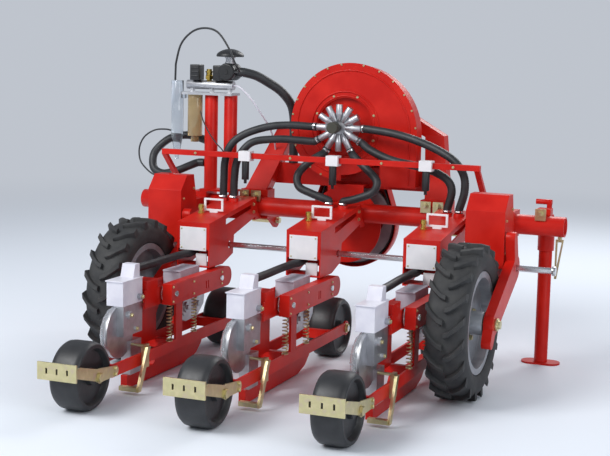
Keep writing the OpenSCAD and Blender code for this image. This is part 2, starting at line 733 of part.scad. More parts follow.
// Outline of a head's side plate with its arm to the toolbar
module head_outline() {
  difference() {
    polygon([
      [head_front, strip_high], [head_front, bar_z - 41], [-310, shaft_z + 41], [-320, shaft_z - 44], [strip_y, head_floor],
      [head_y, head_floor], [head_y, head_top], [strip_y, strip_low]]);
    polygon([[-400, head_top - 27], [-120, bar_z - 2], [-120, bar_z + 18], [-400, head_top + 2]]);
  }
}

module row_heads() color(RED) place() {
  each_row() difference() {
    union() {
      for (x = [-head_w / 2, head_w / 2 - sheet_t]) side(x, sheet_t) head_outline();
      side(-head_w / 2, head_w) polygon([
        [head_front, strip_high], [head_front, strip_high - sheet_t], [strip_y, strip_low - sheet_t],
        [head_y, head_top - sheet_t], [head_y, head_top], [strip_y, strip_low]]);
      span([-head_w / 2, head_y, wall_z0], [head_w / 2, head_y + sheet_t, head_top]);
      span([-head_w / 2, -70, bar_z - 60], [head_w / 2, -8, bar_z + 22]);
      span([-head_w / 2, head_y, head_floor], [head_w / 2, -445, head_floor + sheet_t]);
      span([-head_w / 2, -499, pivot_z + 92], [head_w / 2, -455, pivot_z + 180]);
      for (x = [-bracket_w / 2, bracket_w / 2 - sheet_t]) side(x, sheet_t) {
        translate([pivot_y, pivot_z]) circle(bracket_r);
        translate([pivot_y - bracket_r, pivot_z]) square([2 * bracket_r, head_floor + eps - pivot_z]);
      }
    }
    rod_x(-head_w, head_w, 0, bar_z, bar_r + fit);
    rod_x(-head_w, head_w, pivot_y, pivot_z, pivot_r + fit);
    rod_x(-head_w, head_w, shaft_y, shaft_z, shaft_r + 5);
  }
  for (h = hose_routes)
    translate([row_x[h[1]] + h[2], hose_y, strip_z(hose_y) - 4]) cylinder(h = collar_h + 4, r = collar_r);
}

handle_y = -385;
panel_w = 130;
// Panel on the head's rear wall, and a guide plate in the channel below it
module row_panels() color(WHITE) place() each_row() {
  span([-panel_w / 2, head_y - 3, wall_z0 - 5], [panel_w / 2, head_y, wall_z0 + (head_top - wall_z0) * 0.83]);
  span([6, head_y + 15, head_floor + sheet_t], [60, head_y + 20, head_floor + sheet_t + 54]);
}

// Handle loop on a foot, behind the collars for the hoses
module row_handles() color(WHITE) place() each_row() translate([10, handle_y, strip_z(handle_y + 3)]) difference() {
  union() {
    span([-48, -3, 8], [48, 3, 66]);
    span([-20, -3, 0], [20, 3, 9]);
  }
  span([-38, -4, 17], [38, 4, 57]);
}

// Swinging frame: two arms from the pivot, a bridge and two beams down at the press wheels
module row_frames() color(RED) place() each_row() difference() {
  beam_rear = rear_y + 102;
  union() {
    for (s = [-1, 1]) {
      x = s > 0 ? beam_x : -beam_x - beam_t;
      span([x, beam_rear, beam_z - beam_h / 2], [x + beam_t, front_y, beam_z + beam_h / 2]);
      rod_x(x, x + beam_t, front_y, beam_z, beam_h / 2 + 8);
      span([x, bridge_y, beam_z], [x + beam_t, bridge_y + bridge_w, case_z0]);
      xa = s > 0 ? arm_in : -arm_in - arm_t;
      side(xa, arm_t) {
        polygon([[meter_front, case_z0], [meter_front, arm_top], [pivot_y, arm_top], [pivot_y, case_z0 + 6], [hopper_front, case_z0]]);
        translate([pivot_y, pivot_z]) circle(32);
      }
    }
    span([-beam_x - beam_t, bridge_y, case_z0 - bridge_h], [beam_x + beam_t, bridge_y + bridge_w, case_z0]);
    span([-arm_in - eps, hopper_rear, case_z0], [arm_in + eps, hopper_front, hopper_z0]);
    span([-arm_in - arm_t, meter_front + 12, arm_top - 8], [arm_in + arm_t, meter_front + 107, arm_top + 38]);
    for (b = [[front_y - press_r - 50, 40], [bridge_y, 40], [disc_y - disc_r - 30, 30]])
      span([-beam_x - eps, b[0], beam_z - 20], [beam_x + eps, b[0] + 25, beam_z - 20 + b[1]]);
  }
  rod_x(-bracket_w, bracket_w, pivot_y, pivot_z, pivot_r + fit);
  rod_x(-bracket_w, bracket_w, case_shaft_y, pivot_z, pivot_r + fit);
  rod_x(-2 * beam_x, 2 * beam_x, front_y, beam_z, press_axle_d / 2 + fit);
}

module chain_cases() color(RED) place() each_row() difference() {
  side(case_x, case_t) {
    translate([case_front, pivot_z]) circle(case_h / 2);
    translate([case_rear, case_z0]) square([case_front - case_rear, case_h]);
  }
  for (y = [-660, -640]) span([case_x + case_t - 6, y, pivot_z - 25], [case_x + case_t + eps, y + 8, pivot_z + 10]);
  for (y = [pivot_y, case_shaft_y]) rod_x(0, 2 * case_x + case_t, y, pivot_z, pivot_r + fit);
}

// Pivot pin, and the chain case's rear shaft with its flange
module row_shafts() color(STEEL) place() each_row() {
  rod_x(-bracket_w / 2 - 8, case_x + case_t + 6, pivot_y, pivot_z, pivot_r);
  rod_x(-arm_in - arm_t - 8, case_x + case_t + 6, case_shaft_y, pivot_z, pivot_r);
  rod_x(case_x - 9, case_x - 3, case_shaft_y, pivot_z, 39);
}

module seed_hoppers() color(ALU) place() each_row() difference() {
  span([-hopper_w / 2, hopper_rear, hopper_z0], [hopper_w / 2, hopper_front, hopper_z1]);
  span([-hopper_w / 2 + 3, hopper_rear + 3, hopper_z0 + 3], [hopper_w / 2 - 3, hopper_front - 3, hopper_z1 + eps]);
}

// Lid hinged at the hopper's left edge
module hopper_lid(x) color(ALU) place() translate([x, 0, 0]) {
  span([-hopper_w / 2, hopper_rear - lid_over, hopper_z1 + running], [hopper_w / 2, hopper_front, hopper_z1 + running + lid_t]);
}
module hopper_lid_1() hopper_lid(row_x[0]);
module hopper_lid_2() hopper_lid(row_x[1]);
module hopper_lid_3() hopper_lid(row_x[2]);

// Suction box with its lid and the slanted block that takes the hose
module suction_boxes() color("#dcdce8") place() each_row() {
  span([-meter_w / 2, meter_rear, meter_z0], [meter_w / 2, meter_front, meter_z1]);
  span([-meter_w / 2 - 4, meter_rear - 5, meter_z1], [meter_w / 2 + 4, meter_front, meter_z1 + 5]);
  side(-32, 60) polygon([
    [meter_front - 5, meter_z1 + 4], [meter_front - 60, meter_z1 + 4], [meter_front - 42, meter_z1 + 58], [meter_front - 5, meter_z1 + 58]]);
}

module disc_covers() color([0.85, 0.88, 0.95, 0.5]) place() each_row() {
  rod_x(-30, -4 - fit, disc_y, disc_z, disc_r);
  rod_x(-44, -30, disc_y, disc_z, disc_r - 24);
}

// Disc housing below the suction box, the seed chute ahead of it and three knobs
module metering_housings() color(ALU) place() each_row() {
  rod_x(-4, 8, disc_y, disc_z, disc_r);
  span([-4, meter_rear + 4, disc_z - 15], [meter_w / 2, meter_front, meter_z0]);
  difference() {
    span([-22, disc_y + 60, 60], [22, disc_y + 150, disc_z - 50]);
    rod_x(-50, -4, disc_y, disc_z, disc_r + fit);
  }
  rod_x(meter_w / 2, meter_w / 2 + 18, meter_front - 32, meter_z0 + 24, 12);
  rod_x(meter_w / 2, meter_w / 2 + 14, meter_front - 114, meter_z0 - 39, 17);
  rod_x(meter_w / 2, meter_w / 2 + 8, meter_front - 59, meter_z0 - 104, 10);
}

module opener_shoes() color(RED) place() each_row() side(-shoe_w / 2, shoe_w) polygon([
  [disc_y + 45, 6], [-640, 6], [-560, 28], [-510, 66], [-480, 115], [bridge_y - 30, 115], [bridge_y - 80, 60], [disc_y + 45, 60]]);

// Covering tine on a bracket at the beam's right side, with its foot below the row
tine_y = disc_y + 65;
module row_tines() color(ZINC) place() each_row() {
  x = beam_x + beam_t;
  span([x, tine_y - 20, beam_z - 35], [x + 16, tine_y + 20, beam_z + 60]);
  side(x + 16, 12) polygon([
    [tine_y - 14, beam_z + 52], [tine_y + 12, beam_z + 52], [tine_y - 68, 16], [tine_y - 94, 16]]);
  span([18, tine_y - 94, 16], [x + 20, tine_y - 70, 34]);
  rod_x(22, x + eps, tine_y + 5, beam_z + 52, 6);
}

// Fork that carries the rear press axle and a scraper plate behind the wheel
module scrapers() color(ZINC) place() each_row() difference() {
  x = beam_x + beam_t;
  union() {
    for (s = [-1, 1]) side(s > 0 ? x : -x - fork_t, fork_t) {
      link([rear_y + 125, beam_z], 20, [rear_y, beam_z + 8], 28);
      translate([fork_end + 20, beam_z + 47]) circle(22);
      polygon(tangents([rear_y, beam_z + 8], 24, [fork_end + 20, beam_z + 47], 21.9));
    }
    span([-x - fork_t, fork_end - fork_t, beam_z + 14], [x + fork_t, fork_end + eps, beam_z + 82]);
  }
  rod_x(-2 * x, 2 * x, rear_y, beam_z, press_axle_d / 2 + fit);
  for (k = [-1, 0, 1]) span([k * 45 - 4, fork_end - 2 * fork_t, beam_z + 38], [k * 45 + 4, fork_end + 2 * eps, beam_z + 60]);
}

module press_axles() color(STEEL) place() each_row() {
  reach = beam_x + beam_t + fork_t + 6;
  for (y = [front_y, rear_y]) rod_x(-reach, reach, y, beam_z, press_axle_d / 2);
}

module press_wheel(x, y) color(BLACK) place() translate([x, y, press_r]) rotate([0, 90, 0]) rotate_extrude() {
  h = press_w / 2;
  polygon([
    [press_axle_d / 2 + running, -h], [30, -h], [34, -h + 20], [press_r - 34, -h + 20], [press_r - 24, -h],
    [press_r - 12, -h], [press_r - 3, -h + 12], [press_r, -h + 30], [press_r, h - 30], [press_r - 3, h - 12], [press_r - 12, h],
    [press_r - 24, h], [press_r - 34, h - 20], [34, h - 20], [30, h], [press_axle_d / 2 + running, h]]);
}
module front_wheel_1() press_wheel(row_x[0], front_y);
module front_wheel_2() press_wheel(row_x[1], front_y);
module front_wheel_3() press_wheel(row_x[2], front_y);
module rear_wheel_1() press_wheel(row_x[0], rear_y);
module rear_wheel_2() press_wheel(row_x[1], rear_y);
module rear_wheel_3() press_wheel(row_x[2], rear_y);

toolbar();
headstock();
hitch_pins();
toolbar_clamps();
hose_rail();
rail_clips();
rail_grips();
fan_housing();
manifold();
gauge_valve();
air_hoses();
thin_tubes();
pto_support();
belt_guard();
drive_belts();
pto_pulley();
fan_pulley();
column_posts();
column_plate();
column_tube();
column_bowl();
air_pump();
pump_fittings();
drive_guards();
wheel_arms();
stub_axles();
hex_shaft();
rim_left();
rim_right();
tyre_left();
tyre_right();
stand_sleeves();
stand_left();
stand_right();
bar_latch();
row_heads();
row_panels();
row_handles();
row_frames();
chain_cases();
row_shafts();
seed_hoppers();
hopper_lid_1();
hopper_lid_2();
hopper_lid_3();
suction_boxes();
disc_covers();
metering_housings();
opener_shoes();
row_tines();
scrapers();
press_axles();
front_wheel_1();
front_wheel_2();
front_wheel_3();
rear_wheel_1();
rear_wheel_2();
rear_wheel_3();
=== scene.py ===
# %% [markdown]
# # A three-row seed drill, dressed for the camera
# The solids come from the CAD model: frame, fan, wheels, row units. This lesson gives them their
# finishes, and adds what a CAD model leaves out: ribbed hoses, tyres with finer lugs, bolts, springs and
# thin tubes. Everything is in metres, in the CAD model's own frame: X to the right, Y forward, Z up.

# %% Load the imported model
import math

import bmesh
import bpy
from mathutils import Matrix, Vector


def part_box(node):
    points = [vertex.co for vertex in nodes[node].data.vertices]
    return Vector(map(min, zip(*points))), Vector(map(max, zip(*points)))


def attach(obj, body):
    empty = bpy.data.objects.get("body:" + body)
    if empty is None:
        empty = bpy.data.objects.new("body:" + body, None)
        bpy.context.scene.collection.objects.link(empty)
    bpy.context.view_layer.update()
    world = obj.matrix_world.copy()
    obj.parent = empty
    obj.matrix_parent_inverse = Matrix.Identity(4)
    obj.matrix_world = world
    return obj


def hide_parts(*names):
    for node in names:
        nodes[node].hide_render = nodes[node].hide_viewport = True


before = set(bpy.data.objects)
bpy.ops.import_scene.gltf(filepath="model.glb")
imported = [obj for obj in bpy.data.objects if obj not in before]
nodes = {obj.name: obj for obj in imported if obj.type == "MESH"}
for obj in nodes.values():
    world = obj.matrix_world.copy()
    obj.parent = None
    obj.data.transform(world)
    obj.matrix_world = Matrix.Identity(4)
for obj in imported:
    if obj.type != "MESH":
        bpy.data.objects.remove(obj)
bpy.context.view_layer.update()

# %% [markdown]
# The drawing measures everything from the toolbar, in millimetres: X from the middle row, Y from the
# tube's axis, Z from the floor. The model's origin lies elsewhere, so one function turns a drawing point
# into a point of the scene. It finds the shift from the toolbar's own box, so nothing has to be fitted by
# eye.

# %% From the drawing's millimetres to the scene
MM = 0.001
BAR_LEFT, BAR_RIGHT, BAR_Z = -1085, 1017, 641
bar_low, bar_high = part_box("toolbar")
ORIGIN = Vector((bar_low.x - BAR_LEFT * MM, (bar_low.y + bar_high.y) / 2, 0))


def at(x, y, z):
    return ORIGIN + Vector((x, y, z)) * MM


ROWS = (-530, 0, 530)
WHEELS = {"left": -757, "right": 757}
FAN_X, FAN_FACE_Y, FAN_Z = -40, 20, 1038
BACK, AHEAD, LEFT, RIGHT, UP = (0, -1, 0), (0, 1, 0), (-1, 0, 0), (1, 0, 0), (0, 0, 1)
print("drawing origin in the scene:", [round(v, 4) for v in ORIGIN])

# %% [markdown]
# ## Finishes
# Every material is procedural. A colour is written as the sRGB hex value that one would pick from a paint
# card, and one function turns it into the linear numbers that the shader wants. A second function adds a
# node, sets its values and links its inputs, so that a material reads as a short recipe.


# %% Colour and node helpers
def linear(hex_colour):
    def channel(c):
        return c / 12.92 if c <= 0.04045 else ((c + 0.055) / 1.055) ** 2.4

    parts = [int(hex_colour[i : i + 2], 16) / 255 for i in (1, 3, 5)]
    return tuple(channel(c) for c in parts) + (1.0,)


def add_node(tree, kind, inputs=None, **settings):
    node = tree.nodes.new(kind)
    for name, value in settings.items():
        setattr(node, name, value)
    for key, value in (inputs or {}).items():
        if isinstance(value, bpy.types.NodeSocket):
            tree.links.new(value, node.inputs[key])
        else:
            node.inputs[key].default_value = value
    return node


def per_metre(size_mm):
    """Texture scale that gives a feature of this size."""
    return 1 / (size_mm * MM)


def start_material(name, **sockets):
    mat = bpy.data.materials.new(name)
    mat.use_nodes = True
    tree = mat.node_tree
    shader = tree.nodes["Principled BSDF"]
    for key, value in sockets.items():
        shader.inputs[key.replace("_", " ")].default_value = value
    place = add_node(tree, "ShaderNodeTexCoord").outputs["Object"]
    return mat, tree, shader, place


def two_tone(tree, shader, place, low, high, size_mm, detail=3.0, spread=(0.35, 0.65)):
    """Base colour that drifts between two colours, in patches of a size."""
    noise = add_node(
        tree,
        "ShaderNodeTexNoise",
        {"Vector": place, "Scale": per_metre(size_mm), "Detail": detail},
    )
    ramp = add_node(tree, "ShaderNodeValToRGB", {"Fac": noise.outputs["Fac"]})
    ramp.color_ramp.elements[0].position, ramp.color_ramp.elements[1].position = spread
    ramp.color_ramp.elements[0].color = linear(low)
    ramp.color_ramp.elements[1].color = linear(high)
    tree.links.new(ramp.outputs["Color"], shader.inputs["Base Color"])
    return ramp


def rough_patches(tree, shader, place, low, high, size_mm):
    noise = add_node(
        tree,
        "ShaderNodeTexNoise",
        {"Vector": place, "Scale": per_metre(size_mm), "Detail": 4.0},
    )
    rough = add_node(
        tree,
        "ShaderNodeMapRange",
        {"Value": noise.outputs["Fac"], "To Min": low, "To Max": high},
    )
    tree.links.new(rough.outputs["Result"], shader.inputs["Roughness"])


def grain(tree, shader, place, size_mm, height_mm, strength):
    """Bump of a size and height, such as casting grain or orange peel."""
    noise = add_node(
        tree,
        "ShaderNodeTexNoise",
        {"Vector": place, "Scale": per_metre(size_mm), "Detail": 2.0},
    )
    bump = add_node(
        tree,
        "ShaderNodeBump",
        {"Height": noise.outputs["Fac"], "Distance": height_mm * MM, "Strength": strength},
    )
    tree.links.new(bump.outputs["Normal"], shader.inputs["Normal"])


# %% [markdown]
# **Red enamel.** The frame is sheet steel and tube, sprayed and baked. The paint is glossy, with the
# faint orange peel of a spray gun, and the red drifts a little where the coat is thicker.

# %% Red enamel
red_enamel, tree, shader, place = start_material(
    "red_enamel_on_steel", Coat_Weight=0.06, Coat_Roughness=0.15, Specular_IOR_Level=0.2
)
two_tone(tree, shader, place, "#bd170e", "#cf2317", 140)
rough_patches(tree, shader, place, 0.3, 0.46, 35)
grain(tree, shader, place, 4, 0.05, 0.25)

# %% [markdown]
# **Yellow passivated zinc.** Small steel parts are zinc plated and dipped in a chromate, which leaves a
# thin film with patches of straw yellow, green and pink.

# %% Yellow zinc
yellow_zinc, tree, shader, place = start_material("yellow_passivated_zinc", Metallic=1.0)
tints = two_tone(tree, shader, place, "#dccfa4", "#cdb9a6", 26, spread=(0.25, 0.8))
middle = tints.color_ramp.elements.new(0.52)
middle.color = linear("#cfc596")
rough_patches(tree, shader, place, 0.24, 0.45, 9)
grain(tree, shader, place, 1.5, 0.03, 0.3)

# %% [markdown]
# **Rubber.** The drive tyres are a dull carbon-black compound with a slight dust in the grain. The press
# wheels are moulded smoother and shine a little, and the hoses lie between the two.


# %% Rubbers
def rubber(name, low, high, rough, grain_mm, height_mm):
    mat, tree, shader, place = start_material(name, IOR=1.52)
    two_tone(tree, shader, place, low, high, 60)
    rough_patches(tree, shader, place, rough - 0.08, rough + 0.08, 12)
    grain(tree, shader, place, grain_mm, height_mm, 0.35)
    return mat


tyre_rubber = rubber("tyre_rubber", "#2b2c2e", "#3a3a3a", 0.72, 2.5, 0.25)
press_rubber = rubber("smooth_press_rubber", "#202124", "#2c2d30", 0.46, 3, 0.06)
hose_rubber = rubber("ribbed_hose_rubber", "#232528", "#2f3134", 0.5, 2, 0.08)

# %% [markdown]
# **Metals.** The rims are sprayed silver. The manifold and the metering housings are sand-cast aluminium
# with a grain of about a millimetre, drawn at 2 mm so that it shows. Shafts and axles are bright drawn
# steel.


# %% Metals
def metal(name, low, high, rough, grain_mm, height_mm, metallic=1.0):
    mat, tree, shader, place = start_material(name, Metallic=metallic)
    two_tone(tree, shader, place, low, high, 45)
    rough_patches(tree, shader, place, rough - 0.06, rough + 0.1, 8)
    grain(tree, shader, place, grain_mm, height_mm, 0.3)
    return mat


silver_enamel = metal("silver_enamel_on_steel", "#8f9398", "#a0a3a8", 0.4, 3, 0.05, metallic=0.55)
cast_aluminium = metal("sand_cast_aluminium", "#b5b6ba", "#c8c9cd", 0.42, 2, 0.25)
drawn_steel = metal("bright_drawn_steel", "#c6c7c9", "#dadbdc", 0.2, 1.5, 0.02)

# %% [markdown]
# **Plastics.** Covers, grips and clips are injection moulded: white and black ABS with a fine satin
# grain, a lilac-grey hopper, and clear acrylic for the seed window and the air filter's tube.


# %% Plastics
def moulded(name, low, high, rough, grain_mm=1.2, height_mm=0.04, **sockets):
    mat, tree, shader, place = start_material(name, IOR=1.5, **sockets)
    two_tone(tree, shader, place, low, high, 70)
    rough_patches(tree, shader, place, rough - 0.05, rough + 0.07, 15)
    grain(tree, shader, place, grain_mm, height_mm, 0.25)
    return mat


white_abs = moulded("satin_white_abs", "#e6e7ea", "#f0f0f2", 0.38)
suction_abs = moulded("pale_lilac_abs", "#d5d4e0", "#e2e1ea", 0.36)
black_abs = moulded("black_abs", "#1b1c1e", "#26272a", 0.42)
hopper_abs = moulded("lilac_grey_abs", "#b9b5c2", "#cbc7d3", 0.36)
olive_nylon = moulded("dark_olive_nylon", "#33332a", "#424136", 0.5)
clear_acrylic = moulded("clear_acrylic", "#e3e7ee", "#eef1f5", 0.16, Transmission_Weight=0.72)
tube_acrylic = moulded("clear_polycarbonate", "#d6dde5", "#e6ebf0", 0.04, Transmission_Weight=0.95)
amber_bowl = moulded("tinted_filter_bowl", "#b39a6c", "#cdb588", 0.07, Transmission_Weight=0.65)
brass = metal("turned_brass", "#c9a94e", "#d9bd66", 0.25, 1.5, 0.02)
print("materials:", len(bpy.data.materials))

# %% [markdown]
# ## Dressing the solids
# Each CAD node keeps its shape and takes its finish from this table. Real edges are never razor sharp, so
# a weld joins the imported corners and a small bevel rounds them, which gives each plate its bright edge
# line.

# %% Finishes of the CAD nodes
FINISHES = {
    red_enamel: (
        "toolbar headstock hose_rail fan_housing pto_support belt_guard column_posts drive_guards wheel_arms "
        "stand_sleeves stand_left stand_right row_heads row_frames chain_cases opener_shoes"
    ),
    yellow_zinc: "hitch_pins toolbar_clamps stub_axles bar_latch row_tines scrapers",
    white_abs: "rail_clips row_panels row_handles",
    suction_abs: "suction_boxes",
    black_abs: "rail_grips",
    hose_rubber: "drive_belts",
    press_rubber: "front_wheel_1 front_wheel_2 front_wheel_3 rear_wheel_1 rear_wheel_2 rear_wheel_3",
    silver_enamel: "rim_left rim_right pto_pulley fan_pulley",
    cast_aluminium: "manifold metering_housings column_plate",
    hopper_abs: "seed_hoppers hopper_lid_1 hopper_lid_2 hopper_lid_3",
    tube_acrylic: "column_tube",
    amber_bowl: "column_bowl",
    olive_nylon: "gauge_valve",
    drawn_steel: "hex_shaft row_shafts press_axles",
}
EDGE_MM = 1.2


def soften(obj, width_mm):
    weld = obj.modifiers.new("weld corners", "WELD")
    weld.merge_threshold = 0.02 * MM
    bevel = obj.modifiers.new("rounded edges", "BEVEL")
    bevel.width = width_mm * MM
    bevel.segments = 2
    bevel.limit_method = "ANGLE"
    bevel.angle_limit = math.radians(35)
    bevel.harden_normals = True


for mat, names in FINISHES.items():
    for name in names.split():
        nodes[name].data.materials.clear()
        nodes[name].data.materials.append(mat)
        soften(nodes[name], EDGE_MM)
print("dressed", sum(len(names.split()) for names in FINISHES.values()), "nodes")

# %% [markdown]
# ## Building pieces
# The added pieces are meshes made in code. One function turns a bmesh into an object that rides on a CAD
# body and gives it its material. The builders share one skin over rings of points: a turned
# profile, a hex-headed bolt on its washer, a round section swept along a route, a hoop, a rounded block
# and a coil spring.


# %% Piece builders
def make_piece(name, bm, mat, body, smooth_deg=40):
    mesh = bpy.data.meshes.new(name)
    bmesh.ops.recalc_face_normals(bm, faces=bm.faces)
    for edge in bm.edges:
        sharp = len(edge.link_faces) != 2 or edge.calc_face_angle(0) > math.radians(smooth_deg)
        edge.smooth = not sharp
    for face in bm.faces:
        face.smooth = True
    bm.to_mesh(mesh)
    bm.free()
    mesh.materials.append(mat)
    obj = bpy.data.objects.new(name, mesh)
    bpy.context.scene.collection.objects.link(obj)
    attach(obj, body)
    return obj


def add_rings(bm, rings, endless=False):
    """Skins rings of points, all of the same length: capped at both ends, or endless as in a hoop."""
    made = [[bm.verts.new(p) for p in ring] for ring in rings]
    count = len(rings[0])
    following = made[1:] + made[:1] if endless else made[1:]
    for a, b in zip(made, following):
        for k in range(count):
            bm.faces.new((a[k], a[(k + 1) % count], b[(k + 1) % count], b[k]))
    if not endless:
        bm.faces.new(made[0][::-1])
        bm.faces.new(made[-1])


def circle(sides):
    """Angles of evenly spaced points round a circle."""
    return [2 * math.pi * k / sides for k in range(sides)]


def frame_along(direction):
    """Two unit vectors square to a direction."""
    helper = Vector((0, 0, 1)) if abs(direction.z) < 0.9 else Vector((0, 1, 0))
    side = direction.cross(helper).normalized()
    return side, side.cross(direction)


def turn(bm, base, axis, profile, sides=24):
    """Turned piece: profile is (height along the axis, radius) in millimetres."""
    axis = Vector(axis).normalized()
    u, v = frame_along(axis)
    rings = []
    for h, r in profile:
        middle = base + axis * h * MM
        rings.append([middle + (u * math.cos(a) + v * math.sin(a)) * r * MM for a in circle(sides)])
    add_rings(bm, rings)


def add_bolt(bm, base, axis, across_mm=13):
    """Hex head with a chamfered top, on a washer."""
    r = across_mm / 2
    turn(bm, base, axis, [(0, r * 1.28), (r * 0.2, r * 1.28), (r * 0.25, r * 1.22)], 20)
    head = r * 1.155
    turn(bm, base, axis, [(r * 0.26, head), (r * 1.0, head), (r * 1.16, head * 0.86)], 6)


def spline_points(points, steps):
    """Catmull-Rom curve through the points, as in the CAD source."""
    p = [points[0], *points, points[-1]]
    out = []
    for i in range(1, len(p) - 2):
        a, b, c, d = p[i - 1 : i + 3]
        for k in range(steps):
            t = k / steps
            square = (2 * a - 5 * b + 4 * c - d) * t * t
            cube = (3 * b - a - 3 * c + d) * t**3
            out.append(0.5 * (2 * b + (c - a) * t + square + cube))
    return [*out, points[-1]]


def even_points(points, step):
    """The same route with points a fixed distance apart."""
    out, left = [points[0]], step
    for a, b in zip(points, points[1:]):
        length, gone = (b - a).length, 0.0
        while length - gone >= left:
            gone += left
            out.append(a.lerp(b, gone / length))
            left = step
        left -= length - gone
    return [*out, points[-1]]


def add_tube(bm, route, radii_mm, sides):
    """Sweeps a round section along a route without twisting it."""
    heading = (route[1] - route[0]).normalized()
    u, v = frame_along(heading)
    rings = []
    for i, point in enumerate(route):
        ahead = (route[min(i + 1, len(route) - 1)] - route[max(i - 1, 0)]).normalized()
        turn_by = heading.rotation_difference(ahead)
        u, v, heading = turn_by @ u, turn_by @ v, ahead
        r = radii_mm[i] * MM
        rings.append([point + (u * math.cos(a) + v * math.sin(a)) * r for a in circle(sides)])
    add_rings(bm, rings)


def add_hoop(bm, centre, axis, radius_mm, wire_mm, around=72, sides=10):
    """Ring of round section about an axis."""
    axis = Vector(axis).normalized()
    u, v = frame_along(axis)
    rings = []
    for a in circle(around):
        out = u * math.cos(a) + v * math.sin(a)
        section = [(radius_mm + wire_mm * math.cos(b), wire_mm * math.sin(b)) for b in circle(sides)]
        rings.append([centre + (out * r + axis * h) * MM for r, h in section])
    add_rings(bm, rings, endless=True)


def add_rounded_box(bm, low, high, r=6, steps=4):
    """Moulded block between two drawing corners, with rounded edges all round."""
    (x0, y0, z0), (x1, y1, z1) = low, high
    corners = [(x1 - r, y1 - r, 0), (x0 + r, y1 - r, 90), (x0 + r, y0 + r, 180), (x1 - r, y0 + r, 270)]
    levels = [(z0, 0.6), (z0 + r * 0.4, 0.9), (z0 + r, 1), (z1 - r, 1), (z1 - r * 0.4, 0.9), (z1, 0.6)]
    rings = []
    for z, swell in levels:
        ring = []
        for cx, cy, first in corners:
            for k in range(steps + 1):
                a = math.radians(first + 90 * k / steps)
                ring.append(at(cx + r * swell * math.cos(a), cy + r * swell * math.sin(a), z))
        rings.append(ring)
    add_rings(bm, rings)


def add_spring(bm, base, height_mm, radius_mm, wire_mm, turns, per_turn=14):
    """Upright coil spring."""
    count = turns * per_turn
    route = []
    for k in range(count + 1):
        a = 2 * math.pi * turns * k / count
        rise = wire_mm + (height_mm - 2 * wire_mm) * k / count
        route.append(base + Vector((radius_mm * math.cos(a), radius_mm * math.sin(a), rise)) * MM)
    add_tube(bm, route, [wire_mm] * len(route), 8)


# %% [markdown]
# ## Air hoses
# Six ribbed hoses run from the fan's manifold to the row heads, one in each row from the head to the
# suction box, a wider one from the pump to the frame, and one loops round the left column. Both ends of
# each hose are clamped, so it follows the drawing's own route: a straight end, a smooth curve, a straight
# end. The ribs are real rings, about 7 mm apart, because a bump would show a smooth outline.

# %% Hose routes
MANIFOLD_Y, HOSE_START, HOSE_Y, COLLAR_Z = -60, 108.6, -160, 690.7
SPIGOT_RUN, COLLAR_RUN, COLLAR_GAP = 30, 18, 0.6  # straight ends, and the hose's gap to its collar
HOSES = [  # spigot's angle, place of the collar along X, points between
    (180, -578, [
        (-280, -80, 1041), (-380, -105, 1030), (-485, -135, 992), (-545, -156, 940), (-570, -163, 865),
        (-576, -161, 782),
    ]),
    (210, -524, [
        (-250, -80, 973), (-323, -100, 975), (-425, -135, 963), (-474, -156, 927), (-510, -163, 861),
        (-522, -161, 775),
    ]),
    (0, 574, [
        (222, -75, 1025), (340, -100, 1001), (460, -135, 963), (545, -158, 919), (590, -165, 859),
        (596, -164, 788),
    ]),
    (330, 520, [
        (128, -85, 942), (242, -120, 906), (375, -148, 887), (445, -160, 872), (514, -165, 838),
        (538, -164, 787),
    ]),
    (240, -42, [
        (-129, -90, 903), (-167, -120, 872), (-205, -148, 817), (-192, -163, 765), (-135, -165, 739),
        (-72, -163, 719),
    ]),
    (300, 26, [
        (53, -90, 907), (109, -120, 870), (174, -148, 823), (186, -160, 793), (166, -165, 757),
        (95, -164, 727), (44, -162, 713),
    ]),
]
DROP = [
    (-20, -501.4, 484), (-20.5, -530, 482), (-22, -570, 478), (-24, -620, 482), (-24, -780, 482),
    (-14, -930, 484), (-4, -1050, 488), (-2, -1085, 489), (-2, -1111.4, 489),
]
COLUMN_HOSE = [
    (-585.4, 0, 1278), (-554, 0, 1278), (-500, 25, 1263), (-450, 60, 1231), (-400, 95, 1191),
    (-362, 125, 1135), (-350, 140, 1075), (-348, 145, 1000), (-348, 145, 930), (-348, 145, 845.6),
]
LOOP_HOSE = [
    (-756.6, 0, 835), (-782, 0, 835), (-799, -6, 831), (-824, -36, 818), (-877, -66, 793),
    (-954, -60, 776), (-1012, -45, 799), (-1028, -20, 859), (-1009, 10, 904), (-958, 32, 945),
    (-900, 62, 959), (-850, 72, 956), (-800, 72, 943), (-772, 64, 936), (-743.6, 26, 936),
]
ARCH = [
    (-922, 0, 1231), (-918, -4, 1310), (-885, -15, 1405), (-820, -28, 1465), (-745, -42, 1484),
    (-668, -60, 1466), (-605, -78, 1400), (-570, -78, 1330), (-558, -60, 1295), (-560, -38, 1278),
    (-585.4, -38, 1278),
]
RIB_MM, RIB_DEPTH, HOSE_SIDES = 7, 1.6, 14
HOSE_R, DROP_R, PUMP_HOSE_R, LOOP_R, ARCH_R = 19, 17, 23, 20, 5


def spigot(angle, reach):
    a = math.radians(angle)
    return (FAN_X + reach * math.cos(a), MANIFOLD_Y, FAN_Z + reach * math.sin(a))


def hose_line(points, step_mm):
    """Straight first and last stretch, smooth curve between, points evenly spaced."""
    p = [at(*q) for q in points]
    return even_points([p[0], *spline_points(p[1:-1], 12), p[-1]], step_mm * MM)


def add_ribbed(bm, points, radius_mm):
    route = hose_line(points, RIB_MM / 2)
    radii = [radius_mm if i % 2 else radius_mm - RIB_DEPTH for i in range(len(route))]
    add_tube(bm, route, radii, HOSE_SIDES)


